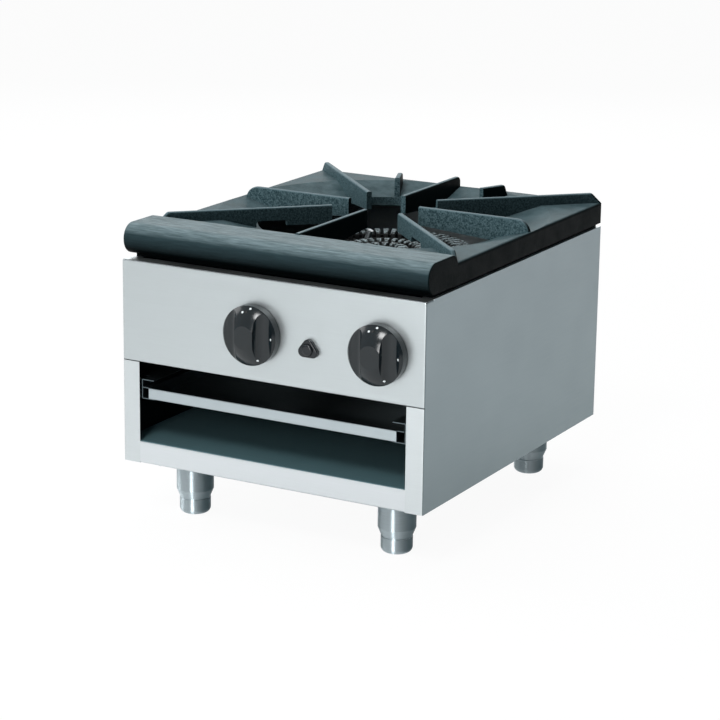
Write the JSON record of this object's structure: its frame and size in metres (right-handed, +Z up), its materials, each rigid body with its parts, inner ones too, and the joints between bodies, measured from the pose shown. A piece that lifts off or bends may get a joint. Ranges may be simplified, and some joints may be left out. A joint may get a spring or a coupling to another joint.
{
  "type": "stock pot range",
  "caption": "Low floor-standing gas range: a wide ring burner under a heavy cast-iron top grate, in a steel body with knobs, drip tray and adjustable legs.",
  "frame": {"origin": "on the floor, under the middle of the whole range, knobs and gas inlet included", "axes": "+Z up, +X to the right seen from the front, +Y towards the back"},
  "size_m": [0.457, 0.592, 0.408],
  "materials": {
    "steel": "satin stainless sheet",
    "galvanised": "dull zinc-coated sheet",
    "tray_steel": "satin stainless sheet",
    "iron": "semi-gloss black enamel on cast iron",
    "burner_iron": "raw cast iron",
    "bright_metal": "bright",
    "brass": "machined",
    "black_pipe": "black steel pipe",
    "aluminium_tube": "drawn tube",
    "knob_plastic": "semi-gloss black phenolic",
    "igniter_plastic": "gloss black",
    "fasteners": "zinc plated",
    "leg_metal": "brushed"
  },
  "bodies": {
    "range_body": {"side_panel_left": "steel", "side_panel_right": "steel", "control_panel": "steel", "bottom_pan": "steel", "rear_panel": "steel", "heat_shield": "galvanised", "tray_runner_left": "galvanised", "tray_runner_right": "galvanised", "outer_burner": "burner_iron", "inner_burner": "burner_iron", "burner_bearer_left": "galvanised", "burner_bearer_right": "galvanised", "pilot_burner": "bright_metal", "valve_left": "brass", "valve_right": "brass", "manifold": "black_pipe", "gas_inlet": "black_pipe", "outer_orifice": "brass", "inner_orifice": "brass", "gas_tube": "aluminium_tube", "igniter_bezel": "igniter_plastic", "igniter_nut": "igniter_plastic", "spark_generator": "igniter_plastic", "leg_bolts": "fasteners", "plate_screws": "fasteners", "leg_sleeve_front_left": "leg_metal", "leg_plate_front_left": "galvanised", "leg_sleeve_front_right": "leg_metal", "leg_plate_front_right": "galvanised", "leg_sleeve_rear_left": "leg_metal", "leg_plate_rear_left": "galvanised", "leg_sleeve_rear_right": "leg_metal", "leg_plate_rear_right": "galvanised"},
    "top_grate": {"top_grate": "iron"},
    "drip_tray": {"drip_tray": "tray_steel"},
    "knob_left": {"knob_left": "knob_plastic", "stem_left": "brass"},
    "knob_right": {"knob_right": "knob_plastic", "stem_right": "brass"},
    "igniter_button": {"igniter_button": "igniter_plastic"},
    "outer_air_shutter": {"outer_air_shutter": "galvanised"},
    "inner_air_shutter": {"inner_air_shutter": "galvanised"},
    "foot_front_left": {"foot_front_left": "leg_metal"},
    "foot_front_right": {"foot_front_right": "leg_metal"},
    "foot_rear_left": {"foot_rear_left": "leg_metal"},
    "foot_rear_right": {"foot_rear_right": "leg_metal"}
  },
  "joints": [
    {"name": "grate_lift", "type": "slide", "parent": "range_body", "child": "top_grate", "axis": [0, 0, 1], "range_m": [0, 0.2]},
    {"name": "tray_slide", "type": "slide", "parent": "range_body", "child": "drip_tray", "axis": [0, -1, 0], "range_m": [0, 0.42]},
    {"name": "knob_left_turn", "type": "hinge", "parent": "range_body", "child": "knob_left", "pos_m": [-0.0225, -0.283, 0.285], "axis": [0, -1, 0], "range_deg": [0, 150]},
    {"name": "knob_right_turn", "type": "hinge", "parent": "range_body", "child": "knob_right", "pos_m": [0.1635, -0.283, 0.285], "axis": [0, -1, 0], "range_deg": [0, 150]},
    {"name": "igniter_push", "type": "slide", "parent": "range_body", "child": "igniter_button", "axis": [0, 1, 0], "range_m": [0, 0.003], "stiffness_N_per_m": 600},
    {"name": "outer_shutter_turn", "type": "hinge", "parent": "range_body", "child": "outer_air_shutter", "pos_m": [-0.0225, -0.198, 0.285], "axis": [0, 1, 0], "range_deg": [0, 60]},
    {"name": "inner_shutter_turn", "type": "hinge", "parent": "range_body", "child": "inner_air_shutter", "pos_m": [0.02, -0.198, 0.2575], "axis": [0, 1, 0], "range_deg": [0, 60]},
    {"name": "foot_front_left_screw", "type": "slide", "parent": "range_body", "child": "foot_front_left", "axis": [0, 0, -1], "range_m": [0, 0.012]},
    {"name": "foot_front_right_screw", "type": "slide", "parent": "range_body", "child": "foot_front_right", "axis": [0, 0, -1], "range_m": [0, 0.012]},
    {"name": "foot_rear_left_screw", "type": "slide", "parent": "range_body", "child": "foot_rear_left", "axis": [0, 0, -1], "range_m": [0, 0.012]},
    {"name": "foot_rear_right_screw", "type": "slide", "parent": "range_body", "child": "foot_rear_right", "axis": [0, 0, -1], "range_m": [0, 0.012]}
  ]
}
